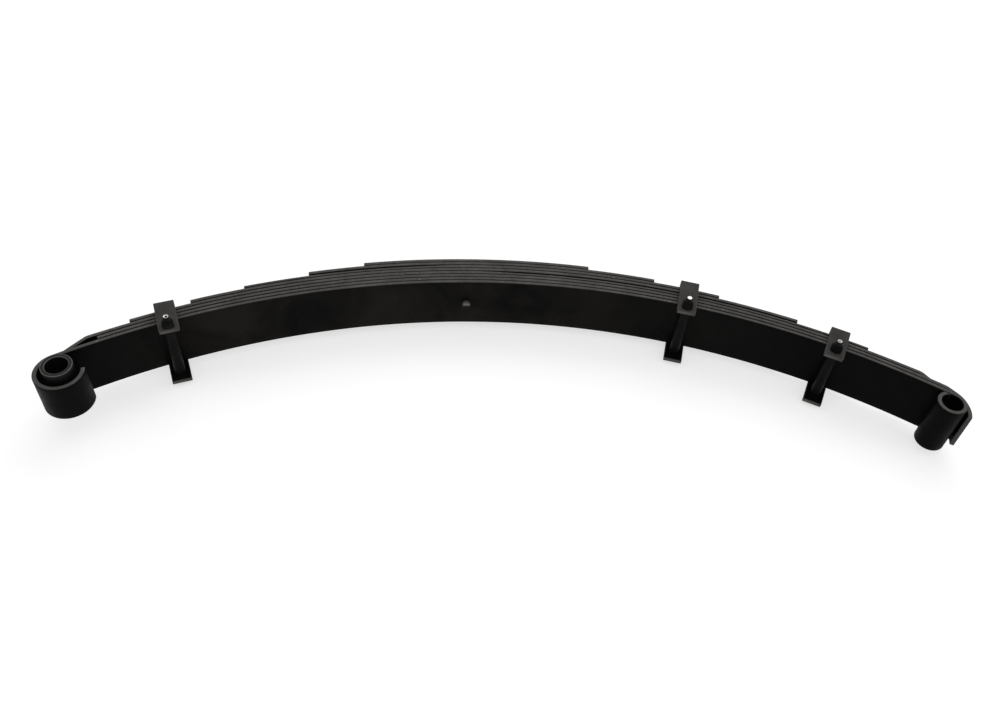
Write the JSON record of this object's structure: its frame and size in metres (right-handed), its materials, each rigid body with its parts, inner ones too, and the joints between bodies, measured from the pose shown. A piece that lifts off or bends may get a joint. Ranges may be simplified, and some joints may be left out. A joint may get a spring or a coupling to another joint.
{
  "type": "leaf spring",
  "caption": "Curved multi-leaf vehicle spring with a rubber-bushed eye, a plain wrapped eye and bolted rebound clips; carries an axle and flexes under load.",
  "frame": {"origin": "on the centre bolt's axis where it meets the main leaf's concave face, at mid-width of the leaves", "axes": "+X runs along the spring towards the long end with the plain eye, +Y runs out through the leaf pack along the centre bolt, +Z runs across the leaves, so the spring lies on its side"},
  "size_m": [1.0536, 0.2709, 0.1043],
  "materials": {
    "leaf_paint": "satin black chassis paint on rolled spring steel",
    "clip_paint": "satin black paint on pressed steel strap and tube",
    "fastener_paint": "black paint over hexagon nuts and bolt heads",
    "bolt_steel": "dark steel, bare and bright at the threaded tip",
    "sleeve_steel": "turned steel tube, dark, with a bright rim",
    "bush_rubber": "matt moulded black rubber"
  },
  "bodies": {
    "spring_pack": {"main_leaf": "leaf_paint", "second_leaf": "leaf_paint", "third_leaf": "leaf_paint", "fourth_leaf": "leaf_paint", "fifth_leaf": "leaf_paint", "sixth_leaf": "leaf_paint", "seventh_leaf": "leaf_paint", "eighth_leaf": "leaf_paint", "centre_bolt": "fastener_paint", "centre_nut": "fastener_paint", "eye_rubber": "bush_rubber", "clip_1_strap": "clip_paint", "clip_1_bolt": "bolt_steel", "clip_1_nut": "fastener_paint", "clip_1_spacer": "clip_paint", "clip_1_rivet": "clip_paint", "clip_2_strap": "clip_paint", "clip_2_bolt": "bolt_steel", "clip_2_nut": "fastener_paint", "clip_2_spacer": "clip_paint", "clip_2_rivet": "clip_paint", "clip_3_strap": "clip_paint", "clip_3_bolt": "bolt_steel", "clip_3_nut": "fastener_paint", "clip_3_spacer": "clip_paint", "clip_3_rivet": "clip_paint"},
    "bush_sleeve": {"eye_sleeve": "sleeve_steel"}
  },
  "joints": [
    {"name": "bush_twist", "type": "hinge", "parent": "spring_pack", "child": "bush_sleeve", "pos_m": [-0.45051, -0.14318, 0], "axis": [0, 0, 1], "range_deg": [-25, 25], "stiffness_Nm_per_rad": 40}
  ]
}
